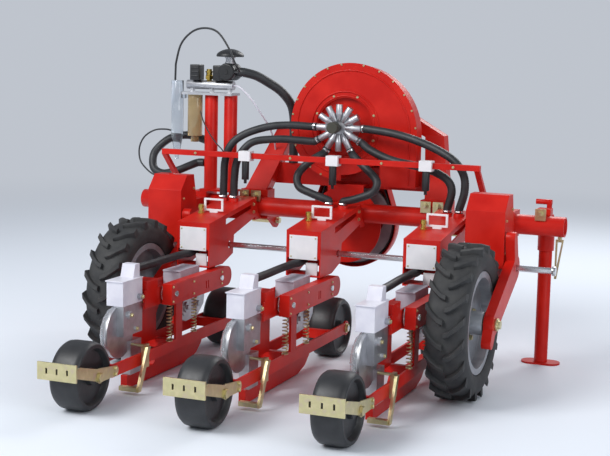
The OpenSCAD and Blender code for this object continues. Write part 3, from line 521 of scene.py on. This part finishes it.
bm = bmesh.new()
for angle, end_x, points in HOSES:
    start = [spigot(angle, HOSE_START), spigot(angle, HOSE_START + SPIGOT_RUN)]
    end = [(end_x, HOSE_Y, COLLAR_Z + COLLAR_RUN), (end_x, HOSE_Y, COLLAR_Z + COLLAR_GAP)]
    add_ribbed(bm, [*start, *points, *end], HOSE_R)
for row in ROWS:
    add_ribbed(bm, [(row + x, y, z) for x, y, z in DROP], DROP_R)
add_ribbed(bm, COLUMN_HOSE, PUMP_HOSE_R)
add_ribbed(bm, LOOP_HOSE, LOOP_R)
ribbed_hoses = make_piece("ribbed_hoses", bm, hose_rubber, "frame", 80)
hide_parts("air_hoses")

bm = bmesh.new()
route = hose_line(ARCH, 6)
add_tube(bm, route, [ARCH_R] * len(route), 12)
arch_tube = make_piece("arch_tube", bm, hose_rubber, "frame")
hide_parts("thin_tubes")
print("hose faces:", len(ribbed_hoses.data.polygons))

# %% [markdown]
# ## Drive tyres
# A drive tyre has a round carcass and two rows of slanted lugs that meet in a herringbone. The CAD tyre
# is a coarse mesh, so a finer one stands for it: the same carcass with many more segments, and each lug a
# tapered block that widens towards its root.

# %% Drive tyres
WHEEL_Y, TYRE_R, TYRE_W, LUG_H, LUGS = -700, 320, 164, 20, 20
RIM_R, RIM_SEAT, TYRE_SIDES = 210, 194, 120
CARCASS = TYRE_R - LUG_H
HALF_SECTION = [
    (RIM_SEAT + 1, 63), (RIM_R + 2, 63), (RIM_R + 4, 72), (RIM_R + 9, 75), (RIM_R + 24, 80),
    (RIM_R + 45, 82), (RIM_R + 62, 80.5), (CARCASS - 15, 74), (CARCASS - 6, 66), (CARCASS, 50),
    (CARCASS + 2, 28), (CARCASS + 3, 0),
]


def add_tyre(bm, centre):
    section = HALF_SECTION + [(r, -x) for r, x in HALF_SECTION[-2::-1]]
    rings = []
    for a in circle(TYRE_SIDES):
        out = Vector((0, math.sin(a), -math.cos(a)))
        rings.append([centre + out * r * MM + Vector((x * MM, 0, 0)) for r, x in section])
    add_rings(bm, rings, endless=True)
    for k in range(LUGS):
        add_lug(bm, centre, 1, 360 / LUGS * k)
        add_lug(bm, centre, -1, 360 / LUGS * (k + 0.5))


def add_lug(bm, centre, side, turn_deg):
    """Tapered block from the crown to the shoulder, drawn pointing down and then turned round the axle."""
    # Columns: out from the middle, back along the tread, top and root radius, half widths of top and root
    stations = [
        (2, 0, TYRE_R, TYRE_R - 26, 9.5, 13),
        (24, 8, TYRE_R - 0.6, TYRE_R - 26, 9.5, 13.5),
        (50, 30, TYRE_R - 3, TYRE_R - 32, 10.5, 15),
        (TYRE_W / 2 - 4, 60, TYRE_R - 14.5, TYRE_R - 50, 12, 16.5),
    ]
    spin = Matrix.Rotation(math.radians(turn_deg), 3, "X")
    rings = []
    for x, along, top, root, half_top, half_root in stations:
        corners = [(half_root, root), (half_top + 1.5, top - 3), (half_top - 1.5, top)]
        corners += [(-w, r) for w, r in corners[::-1]]
        rings.append([centre + spin @ Vector((side * x, w - along, -r)) * MM for w, r in corners])
    add_rings(bm, rings)


for side, x in WHEELS.items():
    bm = bmesh.new()
    add_tyre(bm, at(x, WHEEL_Y, TYRE_R))
    tyre = make_piece(f"lugged_tyre_{side}", bm, tyre_rubber, f"wheel_{side}", 32)
    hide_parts(f"tyre_{side}")
print("tyre faces:", len(tyre.data.polygons))

# %% [markdown]
# ## Fasteners
# A drill is held together by bolts, and they carry much of its look. Each group is one mesh: the clamp
# bolts on the toolbar, the ring of small screws round the fan, the screws of the chain cases and panels,
# and the axle nuts. The wheel nuts turn with their wheels, so they ride on the wheels' bodies.

# %% Bolts on the frame
FOOT_X, FOOT_BOLT_X = 453, 29  # headstock's feet from the fan's axis, and their bolts from the foot's middle
STAND_X, STAND_BOLT_X = 101, -4  # stands from the toolbar's ends, and their bolts from the stand
CLAMP_Y, CLAMP_UP = -54, 58
HEAD_SIDE, HEAD_BOLT_Y = 80, -95
CASE_SIDE, CASE_SCREWS = 110, ((-500, 395), (-500, 343), (-780, 395), (-780, 343), (-972, 400), (-972, 338))
FORK_SIDE, FORK_BOLTS = 85, ((-1408, 146), (-1408, 122))
BEAM_SIDE, BEAM_Z, PRESS_REAR_Y, PRESS_FRONT_Y = 79, 135, -1527, -216
AXLE_WASHER, AXLE_NUT = [(0, 22), (3, 22), (3.2, 19)], [(3.2, 19), (9.5, 19), (11, 16.5)]
PANEL_Y, PANEL_SCREW_X, PANEL_SCREW_Z = -574, 56, (506, 590)
PANEL_SCREW = [(0, 4), (1.2, 3.6), (1.8, 2)]
GUARD_SIDE, GUARD_BOLTS = 85, ((-390, 560), (-390, 700), (-290, 560), (-290, 740))

clamp_places = [FAN_X + s * FOOT_X + d for s in (-1, 1) for d in (-FOOT_BOLT_X, FOOT_BOLT_X)]
clamp_places += [BAR_LEFT + STAND_X + STAND_BOLT_X, BAR_RIGHT - STAND_X + STAND_BOLT_X]
bm = bmesh.new()
for x in clamp_places:
    add_bolt(bm, at(x, CLAMP_Y, BAR_Z + CLAMP_UP), BACK, 17)
for row in ROWS:
    for z in (-18, 18):
        add_bolt(bm, at(row + HEAD_SIDE, HEAD_BOLT_Y, BAR_Z + z), RIGHT, 13)
    for y, z in CASE_SCREWS:
        add_bolt(bm, at(row + CASE_SIDE, y, z), RIGHT, 8)
    for s in (-1, 1):
        for y, z in FORK_BOLTS:
            add_bolt(bm, at(row + s * FORK_SIDE, y, z), (s, 0, 0), 13)
        for y, x in ((PRESS_REAR_Y, FORK_SIDE), (PRESS_FRONT_Y, BEAM_SIDE)):
            turn(bm, at(row + s * x, y, BEAM_Z), (s, 0, 0), AXLE_WASHER, 24)
            turn(bm, at(row + s * x, y, BEAM_Z), (s, 0, 0), AXLE_NUT, 6)
    for x in (-PANEL_SCREW_X, PANEL_SCREW_X):
        for z in PANEL_SCREW_Z:
            turn(bm, at(row + x, PANEL_Y, z), BACK, PANEL_SCREW, 16)
for x in WHEELS.values():
    for y, z in GUARD_BOLTS:
        for s in (-1, 1):
            add_bolt(bm, at(x + s * GUARD_SIDE, y, z), (s, 0, 0), 10)
frame_bolts = make_piece("frame_bolts", bm, yellow_zinc, "frame", 30)

# %% Screws round the fan
SPIRAL = {0: ((21.5, -31.5), 320.5), 90: ((21.5, 4.5), 284.5), 180: ((-14.5, 4.5), 248.5)}  # by first angle
SCREWS_PER_ARC, SCREW_SPAN_DEG, RIM_OUT = 6, 86, 4.5
INLET_SCREWS, INLET_SCREW_R = 8, 152


def fan_point(x, z):
    return at(FAN_X + x, FAN_FACE_Y, FAN_Z + z)


def spiral_point(first, past_deg, out_mm):
    """Point of the fan's rear face, so far round one arc of the spiral and so far outside it."""
    (cx, cz), radius = SPIRAL[first]
    a = math.radians(first + past_deg)
    return fan_point(cx + (radius + out_mm) * math.cos(a), cz + (radius + out_mm) * math.sin(a))


bm = bmesh.new()
for first, start in ((90, 2), (0, 0), (180, 2)):
    for k in range(SCREWS_PER_ARC):
        past = start + SCREW_SPAN_DEG * (k + 0.5) / SCREWS_PER_ARC
        add_bolt(bm, spiral_point(first, past, RIM_OUT), BACK, 8)
for k in range(INLET_SCREWS):
    a = math.radians(360 / INLET_SCREWS * (k + 0.5))
    add_bolt(bm, fan_point(INLET_SCREW_R * math.cos(a), INLET_SCREW_R * math.sin(a)), BACK, 10)
fan_screws = make_piece("fan_screws", bm, yellow_zinc, "frame", 30)

# %% Wheel nuts
WHEEL_NUTS, NUT_CIRCLE_R, DISC_FACE_X = 5, 92, 13.5
for side, x in WHEELS.items():
    bm = bmesh.new()
    for k in range(WHEEL_NUTS):
        a = math.radians(90 + 360 / WHEEL_NUTS * k)
        y, z = WHEEL_Y + NUT_CIRCLE_R * math.cos(a), TYRE_R + NUT_CIRCLE_R * math.sin(a)
        add_bolt(bm, at(x + DISC_FACE_X, y, z), RIGHT, 19)
    make_piece(f"wheel_nuts_{side}", bm, yellow_zinc, f"wheel_{side}", 30)
print("bolt faces:", len(frame_bolts.data.polygons), "fan:", len(fan_screws.data.polygons))

# %% [markdown]
# ## Hose clamps
# Each hose is held on its spigot by a worm-drive band: a thin ring round the hose with a small screw box.

# %% Hose clamps
BAND = [(0, 17), (0, 20.4), (9, 20.4), (9, 17)]
DROP_BAND = [(0, 15), (0, 18.6), (9, 18.6), (9, 15)]
SCREW_BOX, SCREW_BOX_OFF, BAND_MIDDLE = [(-8, 4), (8, 4)], 24, 4.5
DROP_END_X, DROP_END_Y, DROP_END_Z = -2, -1108, 489
BAND_OUT, BAND_UP = 6, 3  # from the hose's start to its band, and from the collar to its band
bm = bmesh.new()
for angle, end_x, points in HOSES:
    axis = Vector((math.cos(math.radians(angle)), 0, math.sin(math.radians(angle))))
    base = at(*spigot(angle, HOSE_START + BAND_OUT))
    turn(bm, base, axis, BAND, 28)
    box = base + axis * BAND_MIDDLE * MM + Vector(BACK) * SCREW_BOX_OFF * MM
    turn(bm, box, axis.cross(Vector(AHEAD)), SCREW_BOX, 6)
    turn(bm, at(end_x, HOSE_Y, COLLAR_Z + BAND_UP), UP, BAND, 28)
    turn(bm, at(end_x, HOSE_Y - SCREW_BOX_OFF, COLLAR_Z + BAND_UP + BAND_MIDDLE), RIGHT, SCREW_BOX, 6)
for row in ROWS:
    turn(bm, at(row + DROP_END_X, DROP_END_Y, DROP_END_Z), AHEAD, DROP_BAND, 28)
hose_clamps = make_piece("hose_clamps", bm, drawn_steel, "frame", 30)

# %% [markdown]
# ## Beads of the fan
# The fan's rear sheet is stiffened by pressed beads: one runs inside the rim down to the outlet, two lie
# round the inlet. A bead is half a round bar lying on the sheet, so a tube sunk to its middle gives it.

# %% Fan beads
BEAD_INSET, BEAD_R, INLET_BEADS = 24, 4.5, (145, 166)
OUTLET_BEAD_X, OUTLET_BEAD_Z = 318, (-255, -180, -105)
ARC_STEP_DEG, ARC_STEPS = 6, 15
bead_line = [fan_point(OUTLET_BEAD_X, z) for z in OUTLET_BEAD_Z]
for first in SPIRAL:
    bead_line += [spiral_point(first, ARC_STEP_DEG * k, -BEAD_INSET) for k in range(ARC_STEPS)]
bm = bmesh.new()
add_tube(bm, bead_line, [BEAD_R] * len(bead_line), 12)
for radius in INLET_BEADS:
    add_hoop(bm, fan_point(0, 0), BACK, radius, BEAD_R)
fan_beads = make_piece("fan_beads", bm, red_enamel, "frame")
print("bead points:", len(bead_line))

# %% [markdown]
# ## Seed windows
# Each metering housing is closed on its left by a clear moulded dome, through which the seed disc can be
# watched. It is a turned piece with a ring of ribs, so the profile is turned once and a rib is swept
# along it.

# %% Seed windows
DISC_X, DISC_Y, DISC_Z = -4.2, -1235, 250
DOME = [(0, 107.8), (8, 107.8), (16, 104), (24, 97), (30, 88), (35, 76), (38.5, 60), (39.8, 40), (39.8, 14)]
RIBS, RIB_R = 16, 2
bm = bmesh.new()
for row in ROWS:
    base = at(row + DISC_X, DISC_Y, DISC_Z)
    turn(bm, base, LEFT, DOME, 48)
    for a in circle(RIBS):
        out = Vector((0, math.cos(a), math.sin(a)))
        rib = [base + (Vector(LEFT) * h + out * r) * MM for h, r in DOME[1:]]
        add_tube(bm, rib, [RIB_R] * len(rib), 6)
seed_windows = make_piece("seed_windows", bm, clear_acrylic, "frame")
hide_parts("disc_covers")

# %% [markdown]
# ## Pump, springs and small fittings
# The pump on the left column is a finned drum with a domed rain cap. Beside it sit a black control block
# and a brass union. Under each chain case two coil springs press the row unit down, and a brass pin
# stands beside each handle.

# %% Pump
PUMP_X, PUMP_Z, PUMP_REAR_Y, PIPE_TOP_Z = -628, 1278, -48, 1235.4
NECK_Z, CAP_Z = 1318, 1350
SIDE_BOX_LOW, SIDE_BOX_HIGH = (PUMP_X - 74, -40, PIPE_TOP_Z), (PUMP_X - 20, 40, PUMP_Z + 30)
FINS, FIN_FROM, FIN_PITCH, FIN_R, GROOVE_R = 5, 26, 12, 42, 39
DRUM_FACE = [(0, 11), (3, 12), (3, 24), (5, 26)]
NECK = [(0, 25), (8, 25), (9, 21), (26, 21), (27, 26), (32, 26)]
RAIN_CAP = [(0, 20), (0, 63), (2, 66), (8, 66), (16, 62), (24, 52), (31, 38), (36, 22), (38, 8)]
drum = [(0, 34), (0, 36), (3, 40), (7, FIN_R), (24, FIN_R)]
for k in range(FINS):
    h = FIN_FROM + FIN_PITCH * k
    drum += [(h, GROOVE_R), (h + 5, GROOVE_R), (h + 6, FIN_R), (h + 11, FIN_R)]
drum += [(100, FIN_R), (105, 40), (108, 35)]
bm = bmesh.new()
turn(bm, at(PUMP_X, PUMP_REAR_Y, PUMP_Z), AHEAD, drum, 40)
turn(bm, at(PUMP_X, PUMP_REAR_Y - 2, PUMP_Z), AHEAD, DRUM_FACE, 24)
add_rounded_box(bm, SIDE_BOX_LOW, SIDE_BOX_HIGH)
turn(bm, at(PUMP_X, 0, CAP_Z), UP, RAIN_CAP, 40)
pump_body = make_piece("pump_body", bm, black_abs, "frame")
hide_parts("air_pump")
bm = bmesh.new()
turn(bm, at(PUMP_X, 0, NECK_Z), UP, NECK, 28)
pump_neck = make_piece("pump_neck", bm, cast_aluminium, "frame", 30)
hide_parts("air_pump")

# %% Control block and union
BLOCK_LOW, BLOCK_HIGH = (-824, -40, PIPE_TOP_Z), (-774, 20, 1310)
SLAT_LOW, SLAT_HIGH, SLAT_ZS, SLAT_H = (-820, -43), (-778, -39), (1252, 1272, 1292), 6
UNION_X, UNION_Z = -738, 1235
UNION_HEX = [(0, 14), (6, 14), (6, 20), (22, 20), (24, 17)]
UNION_TOP = [(24, 15), (38, 15), (38, 19), (44, 19), (44, 13), (54, 13)]
bm = bmesh.new()
add_rounded_box(bm, BLOCK_LOW, BLOCK_HIGH, 5)
for z in SLAT_ZS:
    add_rounded_box(bm, (*SLAT_LOW, z), (*SLAT_HIGH, z + SLAT_H), 1.8)
control_block = make_piece("control_block", bm, black_abs, "frame")
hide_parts("pump_fittings")
bm = bmesh.new()
turn(bm, at(UNION_X, 0, UNION_Z), UP, UNION_HEX, 6)
turn(bm, at(UNION_X, 0, UNION_Z), UP, UNION_TOP, 24)
brass_union = make_piece("brass_union", bm, brass, "frame", 30)
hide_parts("pump_fittings")

# %% Springs and pins
SPRING_X, SPRING_YS, SPRING_R, SPRING_WIRE, SPRING_TURNS = 74, (-705, -935), 11, 2.6, 11
BEAM_TOP, CASE_BOTTOM = 160, 325
WASHER, WASHER_T = [(0, 14), (3, 14)], 3
KNOBS = ((56, -1139, 383), (52, -1221, 320), (46, -1166, 255))
RAIL_BOLT_XS, RAIL_FACE_Y, RAIL_Z = (-690, -208, 231, 560), -237.5, 900
PIN_X, PIN_Y, PIN_Z = -46, -402, 641.5
PIN = [(0, 15), (6, 15), (6, 10), (24, 10), (24, 13), (38, 13), (41, 10)]
bm = bmesh.new()
for row in ROWS:
    for y in SPRING_YS:
        foot = at(row + SPRING_X, y, BEAM_TOP)
        add_spring(bm, foot, CASE_BOTTOM - BEAM_TOP, SPRING_R, SPRING_WIRE, SPRING_TURNS)
        for z in (BEAM_TOP, CASE_BOTTOM - WASHER_T):
            turn(bm, at(row + SPRING_X, y, z), UP, WASHER, 24)
    for x, y, z in KNOBS:
        add_bolt(bm, at(row + x, y, z), RIGHT, 13)
for x in RAIL_BOLT_XS:
    add_bolt(bm, at(x, RAIL_FACE_Y, RAIL_Z), BACK, 10)
springs = make_piece("springs_and_knob_bolts", bm, yellow_zinc, "frame", 30)
bm = bmesh.new()
for row in ROWS:
    turn(bm, at(row + PIN_X, PIN_Y, PIN_Z), UP, PIN, 24)
brass_pins = make_piece("brass_pins", bm, brass, "frame", 30)
print("spring faces:", len(springs.data.polygons))

# %% [markdown]
# ## Castings inside the row units
# Between the beams of each row unit lie a grey gear casting, under the seed hopper, and a red web behind
# it. Both are flat plates with a simple outline, seen from the side.

# %% Castings
CASTING = [
    (-775, 325.2), (-775, 262), (-745, 214), (-690, 196), (-575, 204), (-515, 250), (-505, 300),
    (-580, 325.2),
]
WEB = [(-1085, 325), (-1085, 178), (-1060, 152), (-880, 152), (-880, 325)]
CASTING_X, WEB_X = (18, 28), (-24, -18)
BOSS_Z, LARGE_BOSS_Y, SMALL_BOSS_Y = 262, -700, -590
LARGE_BOSS = [(0, 40), (5, 38), (5, 24), (12, 22), (12, 10), (20, 10)]
SMALL_BOSS = [(0, 30), (4, 29), (4, 12), (16, 12)]


def add_plate(bm, outline, x0, x1, edge=1.5):
    """Plate with chamfered edges from an outline of (y, z) points, between two places along X."""
    cy = sum(y for y, _ in outline) / len(outline)
    cz = sum(z for _, z in outline) / len(outline)
    rings = []
    for x, inset in ((x0, edge), (x0 + edge, 0), (x1 - edge, 0), (x1, edge)):
        ring = []
        for y, z in outline:
            reach = Vector((y - cy, z - cz))
            y_in, z_in = reach * (1 - inset / reach.length)
            ring.append(at(x, cy + y_in, cz + z_in))
        rings.append(ring)
    add_rings(bm, rings)


bm = bmesh.new()
for row in ROWS:
    left, right = (row + x for x in CASTING_X)
    add_plate(bm, CASTING, left, right)
    turn(bm, at(right, LARGE_BOSS_Y, BOSS_Z), RIGHT, LARGE_BOSS, 32)
    turn(bm, at(right, SMALL_BOSS_Y, BOSS_Z), RIGHT, SMALL_BOSS, 28)
gear_castings = make_piece("gear_castings", bm, cast_aluminium, "frame", 30)
bm = bmesh.new()
for row in ROWS:
    add_plate(bm, WEB, *(row + x for x in WEB_X))
row_webs = make_piece("row_webs", bm, red_enamel, "frame", 30)
print("casting faces:", len(gear_castings.data.polygons), "web faces:", len(row_webs.data.polygons))

# %% [markdown]
# ## Thin tubes and cables
# Three thin lines are tied to the left column: a black tube that curls out from the clear cylinder to the
# big hose, a pale air line from the cross pipe to the headstock's leg, and a cable down to the rail.

# %% Thin lines
BLACK_CURL = [
    (-938, -8, 985), (-965, -20, 990), (-1015, -35, 984), (-1068, -40, 950), (-1095, -42, 895),
    (-1085, -50, 832), (-1035, -66, 788), (-985, -82, 768), (-945, -84, 770),
]
PALE_LINE = [
    (-606, -5, 1213), (-585, -8, 1212), (-554, -14, 1196), (-510, 0, 1148), (-476, 20, 1091),
    (-450, 60, 1030), (-440, 110, 960), (-446, 151, 906),
]
RAIL_CABLE = [
    (-776, -12, 1085), (-745, -45, 1040), (-690, -90, 985), (-625, -150, 945), (-572, -205, 925),
    (-552, -226, 914.5),
]
LINE_STEP_MM = 7
for name, points, radius_mm, mat, slot in (
    ("black_curl_tube", BLACK_CURL, 4, hose_rubber, "hose_rubber"),
    ("pale_air_line", PALE_LINE, 4.5, suction_abs, "white_plastic"),
    ("rail_cable", RAIL_CABLE, 3, hose_rubber, "hose_rubber"),
):
    bm = bmesh.new()
    route = even_points(spline_points([at(*p) for p in points], 10), LINE_STEP_MM * MM)
    add_tube(bm, route, [radius_mm] * len(route), 10)
    make_piece(name, bm, mat, "frame")

# %% [markdown]
# ## Stage, light and camera
# The floor is one pale sheet that fades into the backdrop's colour, so no horizon shows behind the
# machine. The world lights the machine less than it shows, which leaves the shading to the soft lamps:
# the strongest stands above the camera's left. The camera repeats the photograph's: its place and angles
# were worked out from the toolbar, the rows and the wheels.

# %% Floor and light
BACKDROP, BACKDROP_LEVEL, AMBIENT_LEVEL = linear("#d9dfe9"), 0.75, 0.5
FLOOR_M, FADE_FROM_M, FADE_TO_M = 120, 3.0, 9.0
floor_material, tree, shader, place = start_material("pale_floor", Roughness=0.9)
shader.inputs["Base Color"].default_value = linear("#e6ecf4")
reach = add_node(tree, "ShaderNodeVectorMath", {0: place}, operation="LENGTH")
fade = add_node(
    tree,
    "ShaderNodeMapRange",
    {"Value": reach.outputs["Value"], "From Min": FADE_FROM_M, "From Max": FADE_TO_M},
    interpolation_type="SMOOTHSTEP",
)
far = add_node(tree, "ShaderNodeEmission", {"Color": BACKDROP, "Strength": BACKDROP_LEVEL})
blend = add_node(
    tree,
    "ShaderNodeMixShader",
    {0: fade.outputs["Result"], 1: shader.outputs["BSDF"], 2: far.outputs["Emission"]},
)
tree.links.new(blend.outputs["Shader"], tree.nodes["Material Output"].inputs["Surface"])
bpy.ops.mesh.primitive_plane_add(size=FLOOR_M, location=(0, 0, 0))
floor = bpy.context.object
floor.name = "floor"
floor.data.materials.append(floor_material)

world = bpy.data.worlds.new("studio")
bpy.context.scene.world = world
world.use_nodes = True
background = world.node_tree.nodes["Background"]
background.inputs["Color"].default_value = BACKDROP
rays = add_node(world.node_tree, "ShaderNodeLightPath")
seen = add_node(
    world.node_tree,
    "ShaderNodeMath",
    {0: rays.outputs["Is Camera Ray"], 1: rays.outputs["Is Transmission Ray"]},
    operation="MAXIMUM",
)
strength = add_node(
    world.node_tree,
    "ShaderNodeMapRange",
    {"Value": seen.outputs["Value"], "To Min": AMBIENT_LEVEL, "To Max": BACKDROP_LEVEL},
)
world.node_tree.links.new(strength.outputs["Result"], background.inputs["Strength"])


def soft_box(name, place, target, size, watts):
    lamp = bpy.data.lights.new(name, "AREA")
    lamp.energy, lamp.size = watts, size
    obj = bpy.data.objects.new(name, lamp)
    obj.location = place
    obj.rotation_euler = (Vector(target) - Vector(place)).to_track_quat("-Z", "Y").to_euler()
    bpy.context.scene.collection.objects.link(obj)


soft_box("key", (-3.0, -4.5, 5.0), (0, 0, 0.5), 3.0, 350)
soft_box("fill", (4.5, -3.0, 3.0), (0, 0, 0.5), 3.0, 80)
soft_box("rim", (1.0, 5.0, 4.0), (0, 0, 0.7), 3.0, 160)
bpy.context.scene.view_settings.view_transform = "Standard"

# %% Camera
CAMERA_MM = (2125.4, -5900.7, 1406.2)
AZIMUTH, PITCH, ROLL = (math.radians(d) for d in (21.6927, 7.6771, 1.3024))
FOCAL_PX, FRAME_PX, SENSOR_MM = 1344.17, 610, 36
ahead = Vector(
    (-math.sin(AZIMUTH) * math.cos(PITCH), math.cos(AZIMUTH) * math.cos(PITCH), -math.sin(PITCH))
)
level = Vector((math.cos(AZIMUTH), math.sin(AZIMUTH), 0))
above = level.cross(ahead)
right = level * math.cos(ROLL) + above * math.sin(ROLL)
up = above * math.cos(ROLL) - level * math.sin(ROLL)
lens = bpy.data.cameras.new("photo camera")
lens.sensor_width = SENSOR_MM
lens.lens = FOCAL_PX / FRAME_PX * SENSOR_MM
camera = bpy.data.objects.new("photo_camera", lens)
bpy.context.scene.collection.objects.link(camera)
camera.matrix_world = Matrix.Translation(at(*CAMERA_MM)) @ Matrix((right, up, -ahead)).transposed().to_4x4()
bpy.context.scene.camera = camera
print("lens:", round(lens.lens, 1), "mm")
